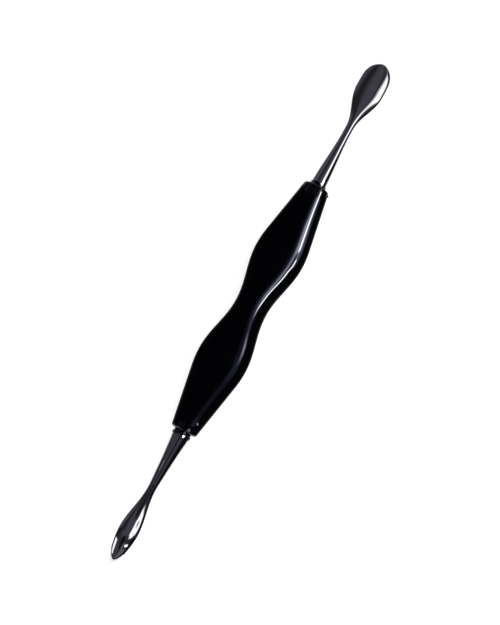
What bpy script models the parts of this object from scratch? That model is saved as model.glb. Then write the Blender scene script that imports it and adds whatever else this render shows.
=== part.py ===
"""Double-ended manicure tool: a moulded grip that holds a spoon pusher and a pointed cleaner.

Metres, +Z up. The tool lies on the flat underside of its grip, with the spoon towards +X.
The origin is at the middle of the tool's length, on the surface that it lies on.
"""

import math
from typing import NamedTuple

import bmesh
import bpy

# Grip: flattened at its two swellings, round at its ends
GRIP_LENGTH = 0.0666
GRIP_THICKNESS = 0.0081
GRIP_WAIST_WIDTH = 0.0082
GRIP_SWELL_WIDTH = 0.0125
GRIP_SWELL_SPACING = 0.0283
GRIP_SWELL_RUN = 0.0045
GRIP_END_WIDTH = 0.0064
GRIP_END_THICKNESS = 0.0061
GRIP_FLAT_LENGTH = 0.043
GRIP_END_DOME = 0.00015
GRIP_RIM_RADIUS = 0.0004
GRIP_NECK_DIAMETER = 0.0042
GRIP_NECK_HEIGHT = 0.0006

# Fit between the moulding and the steel
FIT_GAP = 0.0003
CUT_OVERRUN = 0.001

# Tang: a round stem that ends in a flattened spade, so that the steel can neither turn nor pull out
TANG_LENGTH = 0.016
TANG_DIAMETER = 0.0026
SPADE_LENGTH = 0.0055
SPADE_WIDTH = 0.0036
SPADE_THICKNESS = 0.0014
SPADE_RAMP = 0.0025
SHOULDER_RADIUS = 0.00025

# Spoon pusher, measured outwards from its shoulder
SPOON_REACH = 0.03415
SPOON_SHANK_DIAMETER = 0.00395
SPOON_NECK_DIAMETER = 0.0022
SPOON_NECK_PLACE = 0.01335
SPOON_FLARE_PLACE = 0.01575
SPOON_BELLY_PLACE = 0.02615
SPOON_WIDTH = 0.00705
SPOON_CROWN = 0.00095
SPOON_LIP = 0.0004
SPOON_HOLLOW = 0.00075
SPOON_RISE = 0.0001
SPOON_CURL = 0.0007
SPOON_TIP_THICKNESS = 0.0004
SPOON_TAPER_SHARES = (0.46, 0.48)
SPOON_CLIMB_SHARE = 0.0
SPOON_NOSE_SHARES = (4.0, 0.65, 2.0)

# Pointed cleaner, measured outwards from its shoulder
POINT_REACH = 0.0337
POINT_SHANK_DIAMETER = 0.00465
POINT_NECK_DIAMETER = 0.00225
POINT_NECK_PLACE = 0.0136
POINT_FLARE_PLACE = 0.0143
POINT_BELLY_PLACE = 0.0257
POINT_WIDTH = 0.0049
POINT_CROWN = 0.001
POINT_LIP = 0.0005
POINT_HOLLOW = 0.0006
POINT_RISE = 0.00088
POINT_CURL = 0.0004
POINT_TIP_THICKNESS = 0.0005
POINT_TAPER_SHARES = (1.46, 0.78)
POINT_CLIMB_SHARE = 0.13
POINT_NOSE_SHARES = (1.5, 0.5, 4.0)

# Where the last of a nose turns down to its edge, as a share of the nose
NOSE_EDGE_SHARE = 0.94

# How a blade's crown falls to its edges: 1 is an ellipse, and more brings it down to the edge at a slope
CROWN_POWER_SHARE = 1.4

# Fineness of the meshes
ARC_STEPS = 8
DOME_STEPS = 3
RIM_STEPS = 4
TAPER_STEPS = 8
FLAT_STEPS = 12
STEEL_SIDES = 28
TANG_STEPS = 5
SHANK_STEPS = 9
FLARE_STEPS = 12
NOSE_STEPS = 14
WELD_DISTANCE = 1e-7
SMOOTH_ANGLE = math.radians(35)


class Steel(NamedTuple):
    """One steel end. Places are distances outwards from the shoulder that seats on the grip's neck."""

    reach: float
    shank_diameter: float
    neck_diameter: float
    neck_place: float
    flare_place: float
    belly_place: float
    width: float
    crown: float
    lip: float
    hollow: float
    rise: float
    curl: float
    tip_thickness: float
    taper_shares: tuple
    climb_share: float
    nose_shares: tuple


SPOON = Steel(
    SPOON_REACH,
    SPOON_SHANK_DIAMETER,
    SPOON_NECK_DIAMETER,
    SPOON_NECK_PLACE,
    SPOON_FLARE_PLACE,
    SPOON_BELLY_PLACE,
    SPOON_WIDTH,
    SPOON_CROWN,
    SPOON_LIP,
    SPOON_HOLLOW,
    SPOON_RISE,
    SPOON_CURL,
    SPOON_TIP_THICKNESS,
    SPOON_TAPER_SHARES,
    SPOON_CLIMB_SHARE,
    SPOON_NOSE_SHARES,
)

POINT = Steel(
    POINT_REACH,
    POINT_SHANK_DIAMETER,
    POINT_NECK_DIAMETER,
    POINT_NECK_PLACE,
    POINT_FLARE_PLACE,
    POINT_BELLY_PLACE,
    POINT_WIDTH,
    POINT_CROWN,
    POINT_LIP,
    POINT_HOLLOW,
    POINT_RISE,
    POINT_CURL,
    POINT_TIP_THICKNESS,
    POINT_TAPER_SHARES,
    POINT_CLIMB_SHARE,
    POINT_NOSE_SHARES,
)


def clear_scene():
    for obj in list(bpy.data.objects):
        bpy.data.objects.remove(obj)


def new_collection(name):
    collection = bpy.data.collections.new(name)
    bpy.context.scene.collection.children.link(collection)
    return collection


def new_material(name, colour, roughness, metallic):
    material = bpy.data.materials.new(name)
    material.use_nodes = True
    shader = material.node_tree.nodes["Principled BSDF"]
    shader.inputs["Base Color"].default_value = (*colour, 1.0)
    shader.inputs["Roughness"].default_value = roughness
    shader.inputs["Metallic"].default_value = metallic
    return material


def span(start, end, steps):
    """Evenly spaced places from start to end, both included."""
    return [start + (end - start) * step / steps for step in range(steps + 1)]


def blend(start, end, share):
    return start + (end - start) * share


def ease(share):
    """0 to 1 with level ends, for a swelling or a flare."""
    return (1 - math.cos(math.pi * share)) / 2


def skin(name, rings):
    """A closed mesh through rings of points that lie one after another, with a cap on the first and the last."""
    model = bmesh.new()
    loops = [[model.verts.new(point) for point in ring] for ring in rings]
    for near, far in zip(loops, loops[1:]):
        for side in range(len(near)):
            model.faces.new((near[side - 1], near[side], far[side], far[side - 1]))
    model.faces.new(loops[0][::-1])
    model.faces.new(loops[-1])
    bmesh.ops.remove_doubles(model, verts=model.verts, dist=WELD_DISTANCE)
    bmesh.ops.recalc_face_normals(model, faces=model.faces)
    mesh = bpy.data.meshes.new(name)
    model.to_mesh(mesh)
    model.free()
    mesh.shade_smooth()
    mesh.set_sharp_from_angle(angle=SMOOTH_ANGLE)
    return mesh


def place(name, mesh, collection, parent=None):
    obj = bpy.data.objects.new(name, mesh)
    collection.objects.link(obj)
    obj.parent = parent
    return obj


def grip_half_width(distance):
    """Plan outline of the grip: waist, swelling, then a straight taper to the end."""
    crest = GRIP_SWELL_SPACING / 2
    waist_half = GRIP_WAIST_WIDTH / 2
    swell_half = GRIP_SWELL_WIDTH / 2
    if distance <= crest:
        return blend(waist_half, swell_half, ease(distance / crest))
    past_crest = distance - crest
    straight = GRIP_LENGTH / 2 - crest - GRIP_SWELL_RUN
    slope = (swell_half - GRIP_END_WIDTH / 2) / (straight + GRIP_SWELL_RUN / 2)
    if past_crest <= GRIP_SWELL_RUN:
        return swell_half - slope * past_crest**2 / (2 * GRIP_SWELL_RUN)
    return swell_half - slope * (past_crest - GRIP_SWELL_RUN / 2)


def grip_half_thickness(distance):
    """Level between the flats, then drawn in to the round end."""
    flat_half = GRIP_FLAT_LENGTH / 2
    if distance <= flat_half:
        return GRIP_THICKNESS / 2
    share = (distance - flat_half) / (GRIP_LENGTH / 2 - flat_half)
    return blend(GRIP_THICKNESS / 2, GRIP_END_THICKNESS / 2, share**2)


def slot_ring(x, half_width, half_height):
    """A section with flat faces and full round edges, its corner arcs joined by straight runs."""
    radius = min(half_width, half_height)
    corners = ((1, 1, 0), (-1, 1, 1), (-1, -1, 2), (1, -1, 3))
    points = []
    for side, face, quarter in corners:
        for angle in span(quarter * math.pi / 2, (quarter + 1) * math.pi / 2, ARC_STEPS):
            y = side * (half_width - radius) + radius * math.cos(angle)
            z = face * (half_height - radius) + radius * math.sin(angle)
            points.append((x, y, z))
    return points


def grip_end_rings(direction):
    """The neck, the domed end face and the rim at one end of the grip, from the outside in."""
    end = GRIP_LENGTH / 2
    neck = GRIP_NECK_DIAMETER / 2
    face_half_width = GRIP_END_WIDTH / 2 - GRIP_RIM_RADIUS
    face_half_height = GRIP_END_THICKNESS / 2 - GRIP_RIM_RADIUS
    rings = [slot_ring(direction * (end + GRIP_NECK_HEIGHT), neck, neck)]
    for share in span(0, 1, DOME_STEPS)[:-1]:
        distance = end + GRIP_END_DOME * (1 - share**2)
        half_width = blend(neck, face_half_width, share)
        half_height = blend(neck, face_half_height, share)
        rings.append(slot_ring(direction * distance, half_width, half_height))
    for angle in span(0, math.pi / 2, RIM_STEPS):
        inward = GRIP_RIM_RADIUS * (1 - math.cos(angle))
        drawn_in = GRIP_RIM_RADIUS * (1 - math.sin(angle))
        distance = end - inward
        half_width = grip_half_width(distance) - drawn_in
        half_height = grip_half_thickness(distance) - drawn_in
        rings.append(slot_ring(direction * distance, half_width, half_height))
    return rings


def grip_mesh():
    body_end = GRIP_LENGTH / 2 - GRIP_RIM_RADIUS
    flat_half = GRIP_FLAT_LENGTH / 2
    inner = span(body_end, flat_half, TAPER_STEPS)[1:-1] + span(flat_half, 0, FLAT_STEPS)
    stations = [-place_x for place_x in inner] + inner[-2::-1]
    middle = [slot_ring(x, grip_half_width(abs(x)), grip_half_thickness(abs(x))) for x in stations]
    return skin("grip", grip_end_rings(-1) + middle + grip_end_rings(1)[::-1])


def blade_ring(x, half_width, centre, top, lip, hollow=0.0, power=1.0):
    """A crowned section over an edge line at the height centre, with a lip and a hollow underneath.

    With top and lip both equal to the half width, no hollow and a power of 1, it is a circle.
    """
    points = []
    for side in range(STEEL_SIDES):
        angle = 2 * math.pi * side / STEEL_SIDES
        y = half_width * math.cos(angle)
        height = math.sin(angle)
        if height >= 0:
            z = top * height**power
        else:
            z = lip * height + hollow * height**2
        points.append((x, y, centre + z))
    return points


def tang_rings(grow):
    """The buried tang from its spade to the shoulder. A socket is the same shape, grown by its clearance."""
    stem = TANG_DIAMETER / 2 + grow
    spade_half_width = SPADE_WIDTH / 2 + grow
    spade_half_height = SPADE_THICKNESS / 2 + grow
    ramp_end = TANG_LENGTH - SPADE_LENGTH
    rings = []
    for distance in (TANG_LENGTH + grow, ramp_end):
        rings.append(blade_ring(-distance, spade_half_width, 0.0, spade_half_height, spade_half_height))
    for share in span(0, 1, TANG_STEPS)[1:]:
        half_width = blend(spade_half_width, stem, ease(share))
        half_height = blend(spade_half_height, stem, ease(share))
        rings.append(blade_ring(SPADE_RAMP * share - ramp_end, half_width, 0.0, half_height, half_height))
    return rings


def shank_rings(steel):
    """The round shank, from the rounded shoulder down to the neck."""
    shank = steel.shank_diameter / 2
    neck = steel.neck_diameter / 2
    start, end = steel.taper_shares
    stem = TANG_DIAMETER / 2
    rings = [blade_ring(0.0, stem, 0.0, stem, stem)]
    for angle in span(0, math.pi / 2, RIM_STEPS):
        radius = shank - SHOULDER_RADIUS * (1 - math.sin(angle))
        rings.append(blade_ring(SHOULDER_RADIUS * (1 - math.cos(angle)), radius, 0.0, radius, radius))
    for share in span(0, 1, SHANK_STEPS)[1:]:
        fall = 1 - start * share + (2 * start + end - 3) * share**2 + (2 - start - end) * share**3
        radius = blend(neck, shank, fall)
        rings.append(blade_ring(blend(SHOULDER_RADIUS, steel.neck_place, share), radius, 0.0, radius, radius))
    return rings


def flare_rings(steel):
    """From the round neck out to the belly of the blade, whose edge line may still climb there."""
    neck = steel.neck_diameter / 2
    climb = steel.climb_share * (steel.belly_place - steel.flare_place)
    rings = []
    for share in span(0, 1, FLARE_STEPS):
        swell = ease(share)
        rings.append(
            blade_ring(
                blend(steel.flare_place, steel.belly_place, share),
                blend(neck, steel.width / 2, swell),
                steel.rise * (3 - 2 * share) * share**2 + climb * (share - 1) * share**2,
                blend(neck, steel.crown, swell),
                blend(neck, steel.lip, swell),
                steel.hollow * swell,
                blend(1.0, CROWN_POWER_SHARE, swell),
            )
        )
    return rings


def nose_rings(steel):
    """From the belly to the tip. The outline closes in a round nose and the blade curls down and thins out."""
    power, fullness, dive = steel.nose_shares
    half_tip = steel.tip_thickness / 2
    climb = steel.climb_share * (steel.reach - steel.belly_place)
    drop = steel.rise + climb + steel.curl
    rings = []
    for angle in span(0, math.pi / 2, NOSE_STEPS)[1:]:
        share = math.sin(angle)
        narrowing = (1 - share**power) ** fullness
        past_edge = max(0.0, share - NOSE_EDGE_SHARE) / (1 - NOSE_EDGE_SHARE)
        rounding = math.sqrt(1 - past_edge**2)
        rings.append(
            blade_ring(
                blend(steel.belly_place, steel.reach, share),
                steel.width / 2 * narrowing,
                steel.rise + climb * share - drop * share**dive,
                blend(half_tip, steel.crown, narrowing) * rounding,
                blend(half_tip, steel.lip, narrowing) * rounding,
                steel.hollow * narrowing * rounding,
                CROWN_POWER_SHARE,
            )
        )
    return rings


def steel_mesh(name, steel):
    return skin(name, tang_rings(0.0) + shank_rings(steel) + flare_rings(steel) + nose_rings(steel))


def socket_mesh(name):
    stem = TANG_DIAMETER / 2 + FIT_GAP
    mouth = blade_ring(FIT_GAP + CUT_OVERRUN, stem, 0.0, stem, stem)
    return skin(name, tang_rings(FIT_GAP) + [mouth])


def cut(obj, cutter):
    cutter.hide_render = True
    cutter.display_type = "WIRE"
    boolean = obj.modifiers.new(cutter.name, "BOOLEAN")
    boolean.operation = "DIFFERENCE"
    boolean.solver = "EXACT"
    boolean.object = cutter


def build():
    clear_scene()
    parts = new_collection("manicure_tool")
    cutters = new_collection("cutters")
    black_plastic = new_material("gloss_black_plastic", (0.006, 0.006, 0.009), 0.12, 0.0)
    polished_steel = new_material("polished_steel", (0.62, 0.62, 0.64), 0.08, 1.0)

    grip_middle = (POINT_REACH - SPOON_REACH) / 2
    shoulder_place = GRIP_LENGTH / 2 + GRIP_NECK_HEIGHT + FIT_GAP
    axis = place("tool_axis", None, parts)
    axis.location = (grip_middle, 0.0, GRIP_THICKNESS / 2)

    grip = place("grip", grip_mesh(), parts, axis)
    grip.data.materials.append(black_plastic)

    ends = (("spoon_pusher", SPOON, 1), ("pointed_cleaner", POINT, -1))
    for name, steel, direction in ends:
        turned = 0.0 if direction > 0 else math.pi
        piece = place(name, steel_mesh(name, steel), parts, axis)
        piece.data.materials.append(polished_steel)
        socket = place(f"{name}_socket", socket_mesh(f"{name}_socket"), cutters, axis)
        for obj in (piece, socket):
            obj.location.x = direction * shoulder_place
            obj.rotation_euler.z = turned
        cut(grip, socket)


build()
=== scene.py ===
import math

import bmesh
import bpy
from mathutils import Matrix, Vector


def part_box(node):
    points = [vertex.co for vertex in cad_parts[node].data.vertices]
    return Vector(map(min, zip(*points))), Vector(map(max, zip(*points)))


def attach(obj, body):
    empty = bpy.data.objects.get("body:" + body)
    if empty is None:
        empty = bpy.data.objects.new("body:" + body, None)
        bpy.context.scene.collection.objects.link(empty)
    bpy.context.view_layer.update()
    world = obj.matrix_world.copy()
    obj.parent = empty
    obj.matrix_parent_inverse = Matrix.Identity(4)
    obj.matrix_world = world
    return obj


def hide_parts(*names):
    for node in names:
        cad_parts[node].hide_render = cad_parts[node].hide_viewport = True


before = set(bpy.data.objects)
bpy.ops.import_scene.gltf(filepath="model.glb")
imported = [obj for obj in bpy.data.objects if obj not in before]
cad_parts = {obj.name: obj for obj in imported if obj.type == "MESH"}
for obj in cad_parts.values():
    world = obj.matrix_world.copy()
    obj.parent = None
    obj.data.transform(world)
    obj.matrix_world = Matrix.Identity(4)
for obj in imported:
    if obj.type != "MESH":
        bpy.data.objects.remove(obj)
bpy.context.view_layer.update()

mm = 0.001
quarterTurn = math.pi / 2
print("frame loaded:", sorted(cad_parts))


# Shader trees
class Wire:
    # one output socket, so that shader maths reads as plain sums
    def __init__(self, tree, socket):
        self.tree = tree
        self.socket = socket

    def maths(self, operation, *values):
        return self.tree.node("ShaderNodeMath", {"operation": operation}, dict(enumerate(values)))

    def __add__(self, other):
        return self.maths("ADD", self, other)

    def __sub__(self, other):
        return self.maths("SUBTRACT", self, other)

    def __rsub__(self, other):
        return self.maths("SUBTRACT", other, self)

    def __mul__(self, other):
        return self.maths("MULTIPLY", self, other)

    def __truediv__(self, other):
        return self.maths("DIVIDE", self, other)

    def __rtruediv__(self, other):
        return self.maths("DIVIDE", other, self)

    __radd__ = __add__
    __rmul__ = __mul__

    def ramp(self, start, end, low=0.0, high=1.0):
        # low before start, high after end, smooth between them
        values = {0: self, 1: start, 2: end, 3: low, 4: high}
        return self.tree.node("ShaderNodeMapRange", {"interpolation_type": "SMOOTHSTEP"}, values)

    def fall(self, start, end):
        return self.ramp(start, end, 1.0, 0.0)

    def track(self, ramps):
        # the sum of several ramps, for what bends more than once
        total = self.ramp(*ramps[0])
        for ramp in ramps[1:]:
            total = total + self.ramp(*ramp)
        return total

    def size(self):
        return self.maths("ABSOLUTE", self)

    def band(self, middle, inner, outer, level=1.0):
        # level up to inner from the middle, then fading to nothing at outer
        return (self - middle).size().ramp(inner, outer, level, 0.0)

    def most(self, other):
        return self.maths("MAXIMUM", self, other)


class Tree:
    def __init__(self, owner):
        owner.use_nodes = True
        self.nodes = owner.node_tree.nodes
        self.links = owner.node_tree.links
        self.nodes.clear()

    def node(self, kind, settings=None, values=None, out=0):
        made = self.nodes.new(kind)
        for name, value in (settings or {}).items():
            setattr(made, name, value)
        for name, value in (values or {}).items():
            if isinstance(value, Wire):
                self.links.new(value.socket, made.inputs[name])
            else:
                made.inputs[name].default_value = value
        return Wire(self, made.outputs[out])

    def place(self):
        return self.node("ShaderNodeTexCoord", out=3)

    def axes(self, vector):
        split = self.node("ShaderNodeSeparateXYZ", values={0: vector})
        return [Wire(self, socket) for socket in split.socket.node.outputs]

    def noise(self, vector, scale, detail=2.0, roughness=0.5, stretch=None):
        # the factors of stretch draw the pattern out along an axis where they are small
        if stretch:
            vector = self.node("ShaderNodeVectorMath", {"operation": "MULTIPLY"}, {0: vector, 1: stretch})
        values = {"Vector": vector, "Scale": scale, "Detail": detail, "Roughness": roughness}
        return self.node("ShaderNodeTexNoise", values=values)

    def blend(self, factor, first, second):
        values = {0: factor, 6: first, 7: second}
        return self.node("ShaderNodeMix", {"data_type": "RGBA"}, values, out=2)

    def bump(self, height, strength, distance, normal=None):
        values = {"Strength": strength, "Distance": distance, "Height": height}
        if normal:
            values["Normal"] = normal
        return self.node("ShaderNodeBump", values=values)

    def output(self, kind, shader):
        made = self.nodes.new(kind)
        self.links.new(shader.socket, made.inputs["Surface"])

    def finish(self, kind, values):
        # the last shader of a material
        self.output("ShaderNodeOutputMaterial", self.node(kind, values=values))


def newMaterial(name):
    material = bpy.data.materials.new(name)
    return material, Tree(material)


def grey(level):
    return (level, level, level, 1)


# Shapes that several pieces share
skin = {"weldDistance": 1e-7, "sharpAngle": 40}


def spread(start, end, steps):
    return [start + (end - start) * step / steps for step in range(steps + 1)]


def between(start, end, share):
    return start + (end - start) * share


def ease(share):
    return (1 - math.cos(math.pi * share)) / 2


def meshFrom(model, name):
    mesh = bpy.data.meshes.new(name)
    model.to_mesh(mesh)
    model.free()
    return mesh


def skinRings(name, rings):
    model = bmesh.new()
    loops = [[model.verts.new(point) for point in ring] for ring in rings]
    for near, far in zip(loops, loops[1:]):
        for side in range(len(near)):
            model.faces.new((near[side - 1], near[side], far[side], far[side - 1]))
    model.faces.new(loops[0][::-1])
    model.faces.new(loops[-1])
    bmesh.ops.remove_doubles(model, verts=model.verts, dist=skin["weldDistance"])
    bmesh.ops.recalc_face_normals(model, faces=model.faces)
    mesh = meshFrom(model, name)
    mesh.shade_smooth()
    mesh.set_sharp_from_angle(angle=math.radians(skin["sharpAngle"]))
    return mesh


# a ball made point by point, so that its faces come in the same order each run
def addBall(model, around, upward, radius):
    rings = []
    for tilt in spread(0, math.pi, upward)[1:-1]:
        height = radius * math.cos(tilt)
        outward = radius * math.sin(tilt)
        turns = [2 * math.pi * side / around for side in range(around)]
        ring = [(outward * math.cos(turn), outward * math.sin(turn), height) for turn in turns]
        rings.append([model.verts.new(point) for point in ring])
    top = model.verts.new((0, 0, radius))
    bottom = model.verts.new((0, 0, -radius))
    for side in range(around):
        model.faces.new((top, rings[0][side - 1], rings[0][side]))
        for near, far in zip(rings, rings[1:]):
            model.faces.new((near[side - 1], far[side - 1], far[side], near[side]))
        model.faces.new((rings[-1][side - 1], bottom, rings[-1][side]))


def addObject(name, data):
    obj = bpy.data.objects.new(name, data)
    bpy.context.scene.collection.objects.link(obj)
    return obj


def addPiece(name, mesh, material, node):
    piece = addObject(name, mesh)
    piece.data.materials.append(material)
    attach(piece, "root")
    if node:
        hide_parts(node)


# a flat-faced section with full round edges
def slotRing(x, halfWidth, halfHeight, centreZ, steps):
    radius = min(halfWidth, halfHeight)
    points = []
    for side, face, quarter in ((1, 1, 0), (-1, 1, 1), (-1, -1, 2), (1, -1, 3)):
        for angle in spread(quarter * quarterTurn, (quarter + 1) * quarterTurn, steps):
            y = side * (halfWidth - radius) + radius * math.cos(angle)
            z = face * (halfHeight - radius) + radius * math.sin(angle)
            points.append((x, y, centreZ + z))
    return points


# a crowned section over its edge line, with a lip and a hollow under it; a power of 1 is an ellipse,
# a higher one lets the crown meet the edge at a slope
def bladeRing(x, halfWidth, edgeZ, top, lip, hollow, power, sides):
    points = []
    for side in range(sides):
        angle = 2 * math.pi * side / sides
        height = math.sin(angle)
        z = top * height**power if height >= 0 else lip * height + hollow * height**2
        points.append((x, halfWidth * math.cos(angle), edgeZ + z))
    return points


tang = {
    "length": 16.0 * mm,
    "diameter": 2.6 * mm,
    "spadeLength": 5.5 * mm,
    "spadeWidth": 3.6 * mm,
    "spadeThickness": 1.4 * mm,
    "spadeRamp": 2.5 * mm,
    "looseness": 0.05 * mm,     # the gap round the tang in its socket
    "fitGap": 0.3 * mm,     # the CAD's gap from the grip's neck to the shoulder
    "seatGap": 0.02 * mm,     # what is left of that gap here
    "rampSteps": 12,
}


# depth, half width and half height of the tang's sections, from its buried end to the mouth
def tangSections(grow):
    stem = tang["diameter"] / 2 + grow
    wide = tang["spadeWidth"] / 2 + grow
    thin = tang["spadeThickness"] / 2 + grow
    rampEnd = tang["length"] - tang["spadeLength"]
    sections = [(tang["length"] + grow, wide, thin), (rampEnd, wide, thin)]
    for share in spread(0, 1, tang["rampSteps"])[1:]:
        depth = rampEnd - tang["spadeRamp"] * share
        sections.append((depth, between(wide, stem, ease(share)), between(thin, stem, ease(share))))
    return sections


# The grip
grip = {
    "length": 66.6 * mm,
    "waistWidth": 8.2 * mm,
    "swellWidth": 12.5 * mm,
    "swellSpacing": 28.3 * mm,
    "swellRun": 4.5 * mm,
    "endWidth": 6.4 * mm,
    "endThickness": 6.1 * mm,
    "flatLength": 43.0 * mm,
    "endDome": 0.15 * mm,
    "rimRadius": 0.4 * mm,
    "neckDiameter": 4.2 * mm,
    "neckHeight": 0.6 * mm,
    "neckRound": 0.06 * mm,
    "arcSteps": 24,
    "domeSteps": 8,
    "rimSteps": 10,
    "taperSteps": 40,
    "middleSteps": 90,
    "markSegments": (20, 12),
    "gateMarks": [
        {
            "place": 32.5 * mm,
            "turn": 0.0,
            "twist": 0.0,
            "length": 0.55 * mm,
            "width": 0.5 * mm,
            "height": 0.25 * mm,
            "whitenedWithPaintedGlint": False,
        },
        {
            "place": -30.4 * mm,
            "turn": 57.0,
            "twist": 42.0,
            "length": 0.75 * mm,
            "width": 0.35 * mm,
            "height": 0.12 * mm,
            "whitenedWithPaintedGlint": True,
        },
    ],
}
gripLow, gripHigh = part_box("grip")
gripMiddle = (gripLow.x + gripHigh.x) / 2
axisHeight = (gripLow.z + gripHigh.z) / 2


def gripHalfWidth(distance):
    crest = grip["swellSpacing"] / 2
    waist = grip["waistWidth"] / 2
    swell = grip["swellWidth"] / 2
    run = grip["swellRun"]
    if distance <= crest:
        return between(waist, swell, ease(distance / crest))
    straight = grip["length"] / 2 - crest - run
    slope = (swell - grip["endWidth"] / 2) / (straight + run / 2)
    past = distance - crest
    return swell - slope * (past**2 / (2 * run) if past <= run else past - run / 2)


def gripHalfHeight(distance):
    flat = grip["flatLength"] / 2
    share = max(0.0, distance - flat) / (grip["length"] / 2 - flat)
    return between(axisHeight - gripLow.z, grip["endThickness"] / 2, share**2)


def gripRing(x, halfWidth, halfHeight):
    return slotRing(gripMiddle + x, halfWidth, halfHeight, axisHeight, grip["arcSteps"])


# the rings from the bottom of a socket, out over the neck and the domed end, and round its rim
def gripEnd(direction):
    end = grip["length"] / 2
    outer = end + grip["neckHeight"]
    neck = grip["neckDiameter"] / 2
    soft = grip["neckRound"]
    rim = grip["rimRadius"]
    faceWidth = grip["endWidth"] / 2 - rim
    faceHeight = grip["endThickness"] / 2 - rim
    rings = []
    for depth, halfWidth, halfHeight in tangSections(tang["looseness"]):
        rings.append(gripRing(direction * (outer + tang["fitGap"] - depth), halfWidth, halfHeight))
    bore = tang["diameter"] / 2 + tang["looseness"]
    rings += [
        gripRing(direction * outer, bore, bore),
        gripRing(direction * outer, neck - soft, neck - soft),
        gripRing(direction * (outer - soft), neck, neck),
        gripRing(direction * (end + grip["endDome"] + soft), neck, neck),
    ]
    for share in spread(soft / faceWidth, 1, grip["domeSteps"])[:-1]:
        distance = end + grip["endDome"] * (1 - share**2)
        halfWidth = between(neck, faceWidth, share)
        rings.append(gripRing(direction * distance, halfWidth, between(neck, faceHeight, share)))
    for angle in spread(0, quarterTurn, grip["rimSteps"]):
        distance = end - rim * (1 - math.cos(angle))
        drawnIn = rim * (1 - math.sin(angle))
        halfWidth = gripHalfWidth(distance) - drawnIn
        rings.append(gripRing(direction * distance, halfWidth, gripHalfHeight(distance) - drawnIn))
    return rings


# a low oval pip that the mould leaves, half sunk in the surface of the grip
def gateMark(mark):
    distance = abs(mark["place"])
    turn = math.radians(mark["turn"])
    radius = gripHalfHeight(distance)
    y = -(gripHalfWidth(distance) - radius) - radius * math.cos(turn)
    z = axisHeight + radius * math.sin(turn)
    model = bmesh.new()
    addBall(model, *grip["markSegments"], 1)
    size = Matrix.Diagonal((mark["length"] / 2, mark["width"] / 2, mark["height"], 1))
    twisted = Matrix.Rotation(math.radians(mark["twist"]), 4, "Z")
    lean = Matrix.Rotation(quarterTurn - turn, 4, "X") @ twisted
    model.transform(Matrix.Translation((gripMiddle + mark["place"], y, z)) @ lean @ size)
    mesh = meshFrom(model, "gate_mark")
    mesh.shade_smooth()
    return mesh


blackPlastic = {
    "ior": 1.5,
    "darkColour": (0.0003, 0.0003, 0.0010, 1),
    "paleColour": (0.0012, 0.0011, 0.0024, 1),
    "peel": {"scale": 520, "detail": 3},
    "peelStrength": 0.10,
    "peelHeight": 0.02 * mm,
    "haze": {"scale": 130, "detail": 4, "roughness": 0.6, "stretch": (0.6, 1, 1)},
    "hazeEdge": (0.4, 0.75),
    "rubs": {"scale": 5200, "detail": 2, "stretch": (0.05, 1, 1)},
    "rubEdge": (0.62, 0.72),
    "rubbedWhere": (0.45, 0.7),
    "rubDepth": -0.4,
    "seamEdge": (0.02 * mm, 0.05 * mm),
    "markStrength": 0.5,
    "markHeight": 0.01 * mm,
    "roughness": {"plain": 0.03, "haze": 0.025, "rubs": 0.10, "seam": 0.1},
}


def glossBlackPlastic():
    look = blackPlastic
    material, tree = newMaterial("glossBlackPlastic")
    place = tree.place()
    z = tree.axes(place)[2]
    peel = tree.noise(place, **look["peel"])
    haze = tree.noise(place, **look["haze"])
    rubs = tree.noise(place, **look["rubs"]).ramp(*look["rubEdge"]) * haze.ramp(*look["rubbedWhere"])
    seam = z.band(axisHeight, *look["seamEdge"])
    rough = look["roughness"]
    roughness = rough["plain"] + haze.ramp(*look["hazeEdge"]) * rough["haze"]
    roughness = roughness + rubs * rough["rubs"] + seam * rough["seam"]
    normal = tree.bump(peel, look["peelStrength"], look["peelHeight"])
    normal = tree.bump(rubs * look["rubDepth"] + seam, look["markStrength"], look["markHeight"], normal)
    colour = tree.blend(haze, look["darkColour"], look["paleColour"])
    values = {"Base Color": colour, "Roughness": roughness, "IOR": look["ior"], "Normal": normal}
    tree.finish("ShaderNodeBsdfPrincipled", values)
    return material


# the lower gate mark was twisted off, which leaves the plastic pale and rough; its pale specks are also a
# painted highlight, standing in for the glint on that mark
tornPlasticAndPaintedGlint = {
    "speck": {"scale": 3200, "detail": 3, "roughness": 0.7},
    "speckEdge": (0.35, 0.6),
    "darkColour": (0.05, 0.05, 0.055, 1),
    "paleColour": (0.36, 0.36, 0.38, 1),
    "roughness": 0.32,
    "speckRoughness": 0.2,
    "speckStrength": 0.4,
    "speckHeight": 0.02 * mm,
}


def whitenedPlasticAndPaintedGlint():
    look = tornPlasticAndPaintedGlint
    material, tree = newMaterial("whitenedPlasticAndPaintedGlint")
    speck = tree.noise(tree.place(), **look["speck"])
    # pale specks: stress-whitened plastic, and partly a painted highlight for the mark's glint
    colour = tree.blend(speck.ramp(*look["speckEdge"]), look["darkColour"], look["paleColour"])
    roughness = look["roughness"] + speck * look["speckRoughness"]
    normal = tree.bump(speck, look["speckStrength"], look["speckHeight"])
    values = {"Base Color": colour, "Roughness": roughness, "IOR": blackPlastic["ior"], "Normal": normal}
    tree.finish("ShaderNodeBsdfPrincipled", values)
    return material


def makeGrip():
    rimEnd = grip["length"] / 2 - grip["rimRadius"]
    flat = grip["flatLength"] / 2
    stations = spread(rimEnd, flat, grip["taperSteps"])[1:-1] + spread(flat, 0, grip["middleSteps"])
    along = [-station for station in stations] + stations[-2::-1]
    body = [gripRing(x, gripHalfWidth(abs(x)), gripHalfHeight(abs(x))) for x in along]
    rings = gripEnd(-1) + body + gripEnd(1)[::-1]
    plastic = glossBlackPlastic()
    addPiece("blackGrip", skinRings("blackGrip", rings), plastic, "grip")
    for number, mark in enumerate(grip["gateMarks"], 1):
        # the lower mark's pale finish is partly a painted highlight
        finish = whitenedPlasticAndPaintedGlint() if mark["whitenedWithPaintedGlint"] else plastic
        addPiece(f"gateMark{number}", gateMark(mark), finish, None)


makeGrip()
print("grip made")


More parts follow.
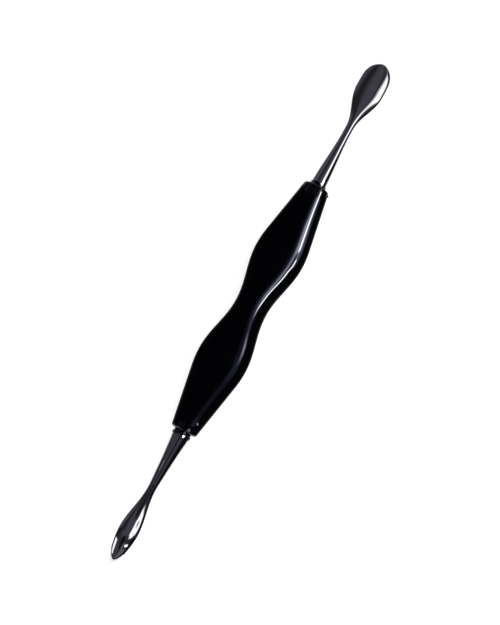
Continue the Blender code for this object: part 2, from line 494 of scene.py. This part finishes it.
# The two steel ends
spoon = {
    "node": "spoon_pusher",
    "direction": 1,
    "reach": 34.15 * mm,
    "shankDiameter": 3.95 * mm,
    "neckDiameter": 2.2 * mm,
    "neckPlace": 13.35 * mm,
    "flarePlace": 15.75 * mm,
    "bellyPlace": 26.15 * mm,
    "width": 7.05 * mm,
    "crown": 0.95 * mm,
    "lip": 0.4 * mm,
    "hollow": 0.75 * mm,
    "rise": 0.1 * mm,
    "curl": 0.7 * mm,
    "tipThickness": 0.4 * mm,
    "taperShares": (0.46, 0.48),
    "climb": 0.0,
    "noseShares": (4.0, 0.65, 2.0),
}
point = {
    "node": "pointed_cleaner",
    "direction": -1,
    "reach": 33.7 * mm,
    "shankDiameter": 4.65 * mm,
    "neckDiameter": 2.25 * mm,
    "neckPlace": 13.6 * mm,
    "flarePlace": 14.3 * mm,
    "bellyPlace": 25.7 * mm,
    "width": 4.9 * mm,
    "crown": 1.0 * mm,
    "lip": 0.5 * mm,
    "hollow": 0.6 * mm,
    "rise": 0.88 * mm,
    "curl": 0.4 * mm,
    "tipThickness": 0.5 * mm,
    "taperShares": (1.46, 0.78),
    "climb": 0.13,
    "noseShares": (1.5, 0.5, 4.0),
}
steel = {
    "sides": 96,
    "shoulderRadius": 0.25 * mm,
    "noseEdgeShare": 0.94,     # where the nose starts to round over
    "edgePower": 1.4,
    "shoulderSteps": 8,
    "shankSteps": 40,
    "flareSteps": 60,
    "noseSteps": 70,
}


def shankSections(end):
    shank = end["shankDiameter"] / 2
    neck = end["neckDiameter"] / 2
    start, stop = end["taperShares"]     # the taper's slopes at the shoulder and at the neck
    radius = steel["shoulderRadius"]
    seat = tang["seatGap"] - tang["fitGap"]
    sections = []
    for angle in spread(0, quarterTurn, steel["shoulderSteps"]):
        drawnIn = radius * (1 - math.sin(angle))
        sections.append((seat + radius * (1 - math.cos(angle)), shank - drawnIn))
    for share in spread(0, 1, steel["shankSteps"])[1:]:
        bend = (2 * start + stop - 3) * share**2 + (2 - start - stop) * share**3
        half = between(neck, shank, 1 - start * share + bend)
        sections.append((between(radius, end["neckPlace"], share), half))
    return [(x, half, 0.0, half, half, 0.0, 1) for x, half in sections]


def flareSections(end):
    neck = end["neckDiameter"] / 2
    climb = end["climb"] * (end["bellyPlace"] - end["flarePlace"])
    sections = []
    for share in spread(0, 1, steel["flareSteps"]):
        swell = ease(share)
        sections.append((
            between(end["flarePlace"], end["bellyPlace"], share),
            between(neck, end["width"] / 2, swell),
            end["rise"] * (3 - 2 * share) * share**2 + climb * (share - 1) * share**2,
            between(neck, end["crown"], swell),
            between(neck, end["lip"], swell),
            end["hollow"] * swell,
            between(1, steel["edgePower"], swell),
        ))
    return sections


def noseSections(end):
    power, fullness, dive = end["noseShares"]
    climb = end["climb"] * (end["reach"] - end["bellyPlace"])
    drop = end["rise"] + climb + end["curl"]
    halfTip = end["tipThickness"] / 2
    edge = steel["noseEdgeShare"]
    sections = []
    for angle in spread(0, quarterTurn, steel["noseSteps"])[1:]:
        share = math.sin(angle)
        narrowing = (1 - share**power) ** fullness
        rounding = math.sqrt(1 - (max(0.0, share - edge) / (1 - edge)) ** 2)
        sections.append((
            between(end["bellyPlace"], end["reach"], share),
            end["width"] / 2 * narrowing,
            end["rise"] + climb * share - drop * share**dive,
            between(halfTip, end["crown"], narrowing) * rounding,
            between(halfTip, end["lip"], narrowing) * rounding,
            end["hollow"] * narrowing * rounding,
            steel["edgePower"],
        ))
    return sections


mirrorSteel = {
    "darkColour": (0.595, 0.60, 0.64, 1),
    "paleColour": (0.67, 0.68, 0.715, 1),
    "lines": {"scale": 3600, "detail": 3, "roughness": 0.6, "stretch": (0.02, 1, 1)},
    "lineStrength": 0.07,
    "lineHeight": 0.01 * mm,
    "fineLines": {"scale": 9000, "detail": 2, "stretch": (0.015, 1, 1)},
    "fineLineEdge": (0.4, 0.8),
    "haze": {"scale": 190, "detail": 4, "roughness": 0.6},
    "hazeEdge": (0.35, 0.75),
    "scratches": {"scale": 4200, "detail": 1, "stretch": (0.06, 1, 1)},
    "scratchEdge": (0.66, 0.71),
    "scratchedWhere": (0.5, 0.7),
    "scratchStrength": 0.25,
    "scratchHeight": 0.006 * mm,
    "roughness": {"plain": 0.02, "haze": 0.02, "fineLines": 0.015, "scratches": 0.10},
}


def polishedSteel():
    look = mirrorSteel
    material, tree = newMaterial("polishedSteel")
    place = tree.place()
    lines = tree.noise(place, **look["lines"])
    fineLines = tree.noise(place, **look["fineLines"]).ramp(*look["fineLineEdge"])
    haze = tree.noise(place, **look["haze"])
    scratches = tree.noise(place, **look["scratches"]).ramp(*look["scratchEdge"])
    scratches = scratches * haze.ramp(*look["scratchedWhere"])
    colour = tree.blend(haze, look["darkColour"], look["paleColour"])
    rough = look["roughness"]
    roughness = rough["plain"] + haze.ramp(*look["hazeEdge"]) * rough["haze"]
    roughness = roughness + fineLines * rough["fineLines"] + scratches * rough["scratches"]
    normal = tree.bump(lines, look["lineStrength"], look["lineHeight"])
    normal = tree.bump(scratches * -1.0, look["scratchStrength"], look["scratchHeight"], normal)
    values = {"Base Color": colour, "Metallic": 1.0, "Roughness": roughness, "Normal": normal}
    tree.finish("ShaderNodeBsdfPrincipled", values)
    return material


def makeSteel(name, end, material):
    # the sections are made pointing along +X, then turned about Z for the other end
    direction = end["direction"]
    shoulder = grip["length"] / 2 + grip["neckHeight"] + tang["fitGap"]
    stem = tang["diameter"] / 2
    sections = [(-depth, wide, 0.0, thin, thin, 0.0, 1) for depth, wide, thin in tangSections(0.0)]
    sections.append((tang["seatGap"] - tang["fitGap"], stem, 0.0, stem, stem, 0.0, 1))
    sections += shankSections(end) + flareSections(end) + noseSections(end)
    rings = [bladeRing(*section, steel["sides"]) for section in sections]
    mesh = skinRings(name, rings)
    turned = Matrix.Rotation(0.0 if direction > 0 else math.pi, 4, "Z")
    mesh.transform(Matrix.Translation((gripMiddle + direction * shoulder, 0, axisHeight)) @ turned)
    addPiece(name, mesh, material, end["node"])


steelFinish = polishedSteel()
makeSteel("spoonPusher", spoon, steelFinish)
makeSteel("pointedCleaner", point, steelFinish)
print("steel ends made")


# The studio. Its room and cards are curved round the tool's length, and only reflections see them.
# Sides are angles in degrees, counted from straight up towards the tool's right. Places lie along the
# tool, from the middle of the grip. A ramp is its start, its end and, where they aren't 0 and 1, its
# values before and after it. A band is its middle, how far from it it stays full and reaches, and its
# level, and a band whose middle wanders has that as a ramp of its own.
cardSteps = 24


def addStagePiece(name, mesh, material):
    obj = addObject(name, mesh)
    obj.data.materials.append(material)
    return obj


def addReflected(name, mesh, paint, strength):
    material, tree = newMaterial(name)
    tree.finish("ShaderNodeEmission", {"Color": paint(tree), "Strength": strength})
    obj = addStagePiece(name, mesh, material)
    obj.visible_camera = False
    obj.visible_diffuse = False
    obj.visible_shadow = False
    return obj


def makeCard(name, card, paint):
    model = bmesh.new()
    rows = []
    for angle in spread(*(math.radians(side) for side in card["sides"]), cardSteps):
        y = -card["radius"] * math.sin(angle)
        z = card["radius"] * math.cos(angle)
        rows.append([model.verts.new((x, y, z)) for x in card["places"]])
    for near, far in zip(rows, rows[1:]):
        model.faces.new((near[0], near[1], far[1], far[0]))
    obj = addReflected(name, meshFrom(model, name), paint, card["strength"])
    obj.location = (gripMiddle, 0, axisHeight)


def placeAndSide(tree):
    x, y, z = tree.axes(tree.place())
    toRight = y * -1.0
    return x, toRight.maths("ARCTAN2", toRight, z) * math.degrees(1)


# how much of a card is lit between two soft edges, which lean along the tool
def litBetweenEdges(x, side, card):
    lit = (side - x.ramp(*card["leftEdge"])).ramp(0.0, card["leftSoftness"])
    return lit * (side - x.ramp(*card["rightEdge"])).fall(0.0, card["rightSoftness"])


def seenDirectly(tree):
    path = tree.node("ShaderNodeLightPath").socket.node.outputs
    seen = Wire(tree, path["Is Camera Ray"])
    return seen + Wire(tree, path["Is Glossy Ray"]) + Wire(tree, path["Is Transmission Ray"])


floor = {"size": 8.0, "level": 0.45, "glow": 0.79}


def makeFloor():
    material, tree = newMaterial("paleFloor")
    paint = tree.node("ShaderNodeBsdfDiffuse", values={"Color": grey(floor["level"])})
    glowColour = tree.blend(seenDirectly(tree), (0, 0, 0, 1), grey(floor["glow"]))
    glow = tree.node("ShaderNodeEmission", values={"Color": glowColour})
    shader = tree.node("ShaderNodeAddShader", values={0: paint, 1: glow})
    # nothing shows from underneath, so that the underside can be looked at
    under = Wire(tree, tree.node("ShaderNodeNewGeometry").socket.node.outputs["Backfacing"])
    clear = tree.node("ShaderNodeBsdfTransparent")
    tree.finish("ShaderNodeMixShader", {0: under, 1: shader, 2: clear})
    model = bmesh.new()
    bmesh.ops.create_grid(model, x_segments=1, y_segments=1, size=floor["size"] / 2)
    addStagePiece("floor", meshFrom(model, "floor"), material)


# The dim room that the steel mirrors: a dark post on its left, a dark seam for the pointed end, which
# widens to a patch, and nearly black on its right. Here a place is a share of the room's radius.
room = {
    "radius": 3.9,
    "segments": (48, 24),
    "strength": 1.0,
    "spoonColours": ((0.102, 0.104, 0.122, 1), (0.070, 0.071, 0.084, 1)),
    "spoonChange": (-80.0, -40.0),
    "pointColours": ((0.056, 0.057, 0.066, 1), (0.038, 0.039, 0.046, 1)),
    "pointChange": (-0.17, -0.12),
    "endChange": (0.06, 0.12),
    "darkColour": grey(0.004),
    "postSide": ((-0.07, 0.29, -73.0, -27.0), (0.65, 0.85, 0.0, -12.0)),
    "postWidth": (2.0, 26.0, 0.77),
    "postStart": (-0.19, -0.14),
    "seamSide": (-0.34, -0.24, 8.0, -3.0),
    "seamWidth": (4.0, 10.0),
    "seamStart": (-0.75, -0.55),
    "seamEnd": (0.10, 0.13),
    "patchSide": (-3.5, 5.0, 14.0, 0.95),
    "patchPlace": (0.035, 0.05, 0.075),
    "rightColour": (0.004, 0.004, 0.006, 1),
    "rightChange": (32.0, 57.0),
}


def paintRoom(tree):
    x, side = placeAndSide(tree)
    tilt = x / room["radius"]
    post = side.band(tilt.track(room["postSide"]), *room["postWidth"]) * tilt.ramp(*room["postStart"])
    seam = side.band(tilt.ramp(*room["seamSide"]), *room["seamWidth"]) * tilt.fall(*room["seamEnd"])
    seam = seam * tilt.ramp(*room["seamStart"])
    patch = side.band(*room["patchSide"]) * tilt.band(*room["patchPlace"])
    spoonEnd = tree.blend(side.ramp(*room["spoonChange"]), *room["spoonColours"])
    pointEnd = tree.blend(tilt.ramp(*room["pointChange"]), *room["pointColours"])
    colour = tree.blend(tilt.ramp(*room["endChange"]), pointEnd, spoonEnd)
    colour = tree.blend(post.most(seam).most(patch), colour, room["darkColour"])
    return tree.blend(side.ramp(*room["rightChange"]), colour, room["rightColour"])


def makeRoom():
    model = bmesh.new()
    addBall(model, *room["segments"], room["radius"])
    addReflected("room", meshFrom(model, "room"), paintRoom, room["strength"])


# A black tent over the grip with a bright tube in a soft halo, which end near the grip's middle. The
# lower half has only a weak patch and a dim glow.
tent = {
    "radius": 15 * mm,
    "sides": (-100, 100),
    "places": (-34.6 * mm, 36.5 * mm),
    "strength": 24.0,
    "tubeSide": (
        (0.5 * mm, 4 * mm, 38.5, 42.0),
        (4 * mm, 9 * mm, 0.0, 4.5),
        (11.5 * mm, 14.5 * mm, 0.0, 5.0),
        (16.3 * mm, 19 * mm, 0.0, -7.0),
    ),
    "tubeWidth": (15 * mm, 22 * mm, 4.1, 4.7),
    "tubeSoftness": 2.4,
    "tubeStart": (-0.5 * mm, 2.8 * mm),
    "tubePinch": (17.9 * mm, 0.7 * mm, 2.1 * mm, 0.86),
    "haloLevel": (15 * mm, 20 * mm, 0.17, 0.22),
    "haloStart": (0.5 * mm, 4.5 * mm),
    "haloLeft": (26 * mm, 30 * mm, 20.0, 23.0),
    "haloLeftSoftness": 13.0,
    "haloRight": (17.5 * mm, 20.5 * mm, 32.0, 48.0),
    "haloRightSoftness": 8.0,
    "hazeSide": (31.5, 3.0, 27.0, 0.02),
    "hazeLevel": (-3 * mm, 3 * mm, 0.35, 1.0),
    "hazeStart": (-15 * mm, -11 * mm),
    "spillLevel": (16 * mm, 19 * mm, 0.035, 0.085),
    "spillStart": (12 * mm, 15 * mm),
    "spillEnd": (25 * mm, 29 * mm, 1.0, 0.4),
    "spillWidth": (16 * mm, 19 * mm, 22.0, 34.0),
    "spillRise": (0.0, 0.9),
    "spillLeft": (-3.0, 3.0, 0.1, 1.0),     # weaker on the left of the tube
    "patchSide": (-9 * mm, 0.0, 43.5, 35.0),
    "patchWidth": (1.0, 10.0, 0.23),
    "patchStart": (-14 * mm, -6.5 * mm),
    "patchFading": (-7 * mm, -2.5 * mm, 1.0, 0.15),
    "patchEnd": (0.0, 2 * mm),
    "dimSide": (-28 * mm, -18 * mm, 35.5, 40.0),
    "dimWidth": (4.0, 24.0),
    "dimEnd": (-14 * mm, -10 * mm),
    "dimLevel": ((-20 * mm, -15.5 * mm, 0.006, 0.013), (-34 * mm, -30 * mm, 0.008, 0.0)),
    "weakTint": (0.80, 0.90, 1.45, 1),
    "middleTint": (0.96, 0.99, 1.07, 1),
    "middleTintFrom": (0.0, 0.25),
    "strongTint": (1.15, 1.18, 1.25, 1),
    "strongTintFrom": (0.4, 0.9),
}
# the tent's tube goes on a little past its upper end
tentEnd = {**tent, "sides": (39, 50), "places": (36.5 * mm, 39 * mm)}


def paintTent(tree):
    x, side = placeAndSide(tree)
    tubeSide = x.track(tent["tubeSide"])
    offTube = (side - tubeSide).size()
    tube = (offTube - x.ramp(*tent["tubeWidth"])).fall(-tent["tubeSoftness"], 0.0)
    tube = tube * x.ramp(*tent["tubeStart"]) * (1.0 - x.band(*tent["tubePinch"]))
    halo = (side - x.ramp(*tent["haloLeft"])).ramp(0.0, tent["haloLeftSoftness"])
    halo = halo * x.ramp(*tent["haloLevel"])
    halo = halo * (side - x.ramp(*tent["haloRight"])).fall(0.0, tent["haloRightSoftness"])
    halo = halo * x.ramp(*tent["haloStart"])
    haze = side.band(*tent["hazeSide"]) * x.ramp(*tent["hazeLevel"]) * x.ramp(*tent["hazeStart"])
    spill = (1.0 - offTube / x.ramp(*tent["spillWidth"])).ramp(*tent["spillRise"])
    spill = spill * x.ramp(*tent["spillLevel"]) * x.ramp(*tent["spillStart"])
    spill = spill * (side - tubeSide).ramp(*tent["spillLeft"]) * x.ramp(*tent["spillEnd"])
    patch = side.band(x.ramp(*tent["patchSide"]), *tent["patchWidth"]) * x.ramp(*tent["patchStart"])
    patch = patch * x.ramp(*tent["patchFading"]) * x.fall(*tent["patchEnd"])
    dim = side.band(x.ramp(*tent["dimSide"]), *tent["dimWidth"]) * x.fall(*tent["dimEnd"])
    dim = dim * x.track(tent["dimLevel"])
    level = tube + halo + haze + spill + patch + dim
    tint = tree.blend(level.ramp(*tent["middleTintFrom"]), tent["weakTint"], tent["middleTint"])
    tint = tree.blend(level.ramp(*tent["strongTintFrom"]), tint, tent["strongTint"])
    return tree.blend(level, grey(0.0), tint)


# a long strip that the spoon and its shank mirror
strip = {
    "radius": 600 * mm,
    "sides": (16, 70),
    "places": (125 * mm, 1150 * mm),
    "strength": 1.75,
    "leftEdge": (150 * mm, 800 * mm, 19.0, 33.5),
    "leftSoftness": 15.0,
    "rightEdge": (250 * mm, 800 * mm, 47.0, 36.0),
    "rightSoftness": 16.0,
    "start": (135 * mm, 195 * mm),
    "fading": (620 * mm, 800 * mm, 1.0, 0.35),
    "unlitColour": (0.02, 0.02, 0.023, 1),
}


def paintStrip(tree):
    x, side = placeAndSide(tree)
    lit = litBetweenEdges(x, side, strip) * x.ramp(*strip["start"]) * x.ramp(*strip["fading"])
    return tree.blend(lit, strip["unlitColour"], grey(1.0))


# a panel with one dim bar, which the pointed blade mirrors
window = {
    "radius": 600 * mm,
    "sides": (8, 70),
    "places": (-18 * mm, 120 * mm),
    "strength": 1.75,
    "leftEdge": (15 * mm, 33 * mm, 19.0, 11.5),
    "leftSoftness": 11.5,
    "rightEdge": (10 * mm, 45 * mm, 35.0, 51.0),
    "rightSoftness": 14.0,
    "start": (-10 * mm, 14 * mm),
    "end": (70 * mm, 85 * mm),
    "barSide": (35.5, 2.5, 9.0),
    "barPlace": (38 * mm, 1.5 * mm, 5.5 * mm),
    "unlitColour": (0.02, 0.02, 0.023, 1),
}


def paintWindow(tree):
    x, side = placeAndSide(tree)
    bar = side.band(*window["barSide"]) * x.band(*window["barPlace"])
    lit = litBetweenEdges(x, side, window) * x.ramp(*window["start"]) * x.fall(*window["end"])
    return tree.blend(lit * (1.0 - bar), window["unlitColour"], grey(1.0))


# a panel that the left edge of the pointed blade mirrors
leftPanel = {
    "radius": 80 * mm,
    "sides": (-71, -38),
    "places": (-160 * mm, -66.3 * mm),
    "strength": 1.45,
    "rightEdge": (-150 * mm, -90 * mm, -56.0, -46.5),
    "rightSoftness": 6.0,
    "unlitColour": grey(0.03),
}


def paintLeftPanel(tree):
    x, side = placeAndSide(tree)
    lit = (side - x.ramp(*leftPanel["rightEdge"])).fall(0.0, leftPanel["rightSoftness"])
    return tree.blend(lit, leftPanel["unlitColour"], grey(1.0))


# a mottled brown card, which the nose of the pointed blade mirrors
brownCard = {
    "radius": 80 * mm,
    "sides": (8, 60),
    "places": (-300 * mm, -63 * mm),
    "strength": 1.0,
    "leftEdge": (-88 * mm, -80 * mm, 14.0, 9.0),
    "leftSoftness": 7.0,
    "rightEdge": (-88 * mm, -80 * mm, 50.0, 22.0),
    "rightSoftness": 8.0,
    "mottle": {"scale": 80, "detail": 3, "roughness": 0.6},
    "mottleEdge": (0.38, 0.6),
    "darkBrown": (0.08, 0.072, 0.075, 1),
    "paleBrown": (0.20, 0.175, 0.175, 1),
    "unlitColour": (0.05, 0.049, 0.056, 1),
}


def paintBrown(tree):
    x, side = placeAndSide(tree)
    mottle = tree.noise(tree.place(), **brownCard["mottle"]).ramp(*brownCard["mottleEdge"])
    brown = tree.blend(mottle, brownCard["darkBrown"], brownCard["paleBrown"])
    return tree.blend(litBetweenEdges(x, side, brownCard), brownCard["unlitColour"], brown)


# a round lamp, which the nose of the pointed blade mirrors
roundLamp = {
    "radius": 79 * mm,
    "sides": (26, 55),
    "places": (-74 * mm, -64 * mm),
    "strength": 2.0,
    "middlePlace": -69 * mm,
    "halfLength": 4.6 * mm,
    "middleSide": 38.0,
    "halfSides": 13.0,
    "edge": (0.6, 1.2),
    "unlitColour": (0.03, 0.03, 0.034, 1),
}


def paintRoundLamp(tree):
    x, side = placeAndSide(tree)
    along = (x - roundLamp["middlePlace"]) / roundLamp["halfLength"]
    across = (side - roundLamp["middleSide"]) / roundLamp["halfSides"]
    lit = (along * along + across * across).fall(*roundLamp["edge"])
    return tree.blend(lit, roundLamp["unlitColour"], grey(1.0))


# a small slit, which the lower shank mirrors as a thin bright line
slit = {
    "radius": 25 * mm,
    "sides": (-46, -40),
    "places": (-47.6 * mm, -45.2 * mm),
    "strength": 0.5,
}


def paintSlit(tree):
    return grey(1.0)


# Dark strips beside the tool, and a dark tray under the grip, keep the pale floor's reflection off its
# sides. Past the grip's ends, the strip on the left is a little lighter.
flags = {
    "offset": 10.5 * mm,
    "height": 6.5 * mm,
    "length": 140 * mm,
    "trayHeight": 9 * mm,
    "trayLength": 70 * mm,
    "trayFloor": 0.05 * mm,
    "strength": 1.0,
    "wallLevel": 0.01,
    "trayLevel": 0.1,
    "wallFrom": (0.1 * mm, 0.5 * mm),
    "leftFrom": (0.0, 1 * mm),
    "leftLevel": (35 * mm, 36 * mm, 0.0, 0.05),
}


def paintFlags(tree):
    x, y, z = tree.axes(tree.place())
    left = y.ramp(*flags["leftFrom"]) * x.size().ramp(*flags["leftLevel"])
    wall = tree.blend(left, grey(flags["wallLevel"]), grey(1.0))
    return tree.blend(z.ramp(*flags["wallFrom"]), grey(flags["trayLevel"]), wall)


def makeFlags():
    half = flags["length"] / 2
    tray = flags["trayLength"] / 2
    bottom = flags["trayFloor"]
    edge = flags["offset"]
    faces = [[(-tray, -edge, bottom), (tray, -edge, bottom), (tray, edge, bottom), (-tray, edge, bottom)]]
    walls = ((half, 0, flags["height"]), (tray, flags["height"], flags["trayHeight"]))
    for y in (-edge, edge):
        for reach, low, high in walls:
            faces.append([(-reach, y, low), (reach, y, low), (reach, y, high), (-reach, y, high)])
    model = bmesh.new()
    for corners in faces:
        model.faces.new([model.verts.new((gripMiddle + x, y, z)) for x, y, z in corners])
    addReflected("flags", meshFrom(model, "flags"), paintFlags, flags["strength"])


# a wide, weak sun from the tool's right, and a pale world
light = {
    "sunStrength": 1.3,
    "sunAngle": 60.0,
    "sunFrom": (0.3, -0.55, 1.0),
    "worldLevel": 0.60,
}


def makeLights():
    sun = bpy.data.lights.new("softSun", "SUN")
    sun.energy = light["sunStrength"]
    sun.angle = math.radians(light["sunAngle"])
    lamp = addObject("softSun", sun)
    lamp.rotation_euler = Vector(light["sunFrom"]).to_track_quat("Z", "Y").to_euler()
    lamp.visible_glossy = False
    world = bpy.data.worlds.new("studio")
    bpy.context.scene.world = world
    tree = Tree(world)
    level = seenDirectly(tree).ramp(0.0, 1.0, light["worldLevel"], 1.0)
    sky = tree.node("ShaderNodeBackground", values={"Color": grey(1), "Strength": level})
    tree.output("ShaderNodeOutputWorld", sky)


# a small lamp over the lower mouth, which only reflections see
catchLight = {
    "place": -34.7 * mm,
    "radius": 8 * mm,
    "side": 28.5,
    "length": 2.3 * mm,
    "width": 3.4 * mm,
    "level": 2.4,     # as bright as a card of this strength
}


def makeCatchLight():
    lamp = bpy.data.lights.new("catchLight", "AREA")
    lamp.shape = "ELLIPSE"
    lamp.size = catchLight["width"]
    lamp.size_y = catchLight["length"]
    area = math.pi / 4 * lamp.size * lamp.size_y
    lamp.energy = catchLight["level"] * math.pi * area
    side = math.radians(catchLight["side"])
    away = Vector((0, -math.sin(side), math.cos(side)))
    along = Vector((1, 0, 0))
    turned = Matrix((away.cross(along), along, away)).transposed().to_4x4()
    middle = Vector((gripMiddle + catchLight["place"], 0, axisHeight))
    obj = addObject("catchLight", lamp)
    obj.matrix_world = Matrix.Translation(middle + away * catchLight["radius"]) @ turned
    obj.visible_camera = False
    obj.visible_diffuse = False


camera = {
    "aim": (-1.1 * mm, -0.355 * mm),     # from the middle of the grip
    "height": 330 * mm,
    "foot": -38.2 * mm,     # where the camera stands, along the tool from its aim
    "field": 148.75 * mm,
    "lean": 28.56,
    "sensor": 36,
    "nearest": 0.01,
}


def makeCamera():
    along, across = camera["aim"]
    aim = Vector((gripMiddle + along, across, axisHeight))
    back = Vector((camera["foot"], 0, camera["height"]))
    distance = back.length
    back.normalize()
    data = bpy.data.cameras.new("camera")
    data.sensor_width = camera["sensor"]
    data.lens = data.sensor_width * distance / camera["field"]
    data.clip_start = camera["nearest"]
    lean = math.radians(camera["lean"])
    upward = Vector((math.cos(lean), math.sin(lean), 0))
    up = (upward - upward.dot(back) * back).normalized()
    right = up.cross(back)
    turned = Matrix((right, up, back)).transposed().to_4x4()
    obj = addObject("camera", data)
    obj.matrix_world = Matrix.Translation(aim + back * distance) @ turned
    bpy.context.scene.camera = obj


makeFloor()
makeRoom()
makeCard("tent", tent, paintTent)
makeCard("tentEnd", tentEnd, paintTent)
makeCard("strip", strip, paintStrip)
makeCard("window", window, paintWindow)
makeCard("leftPanel", leftPanel, paintLeftPanel)
makeCard("brownCard", brownCard, paintBrown)
makeCard("roundLamp", roundLamp, paintRoundLamp)
makeCard("slit", slit, paintSlit)
makeFlags()
print("stage made")
makeLights()
makeCatchLight()
makeCamera()
bpy.context.scene.view_settings.view_transform = "Standard"
print("lights and camera made")
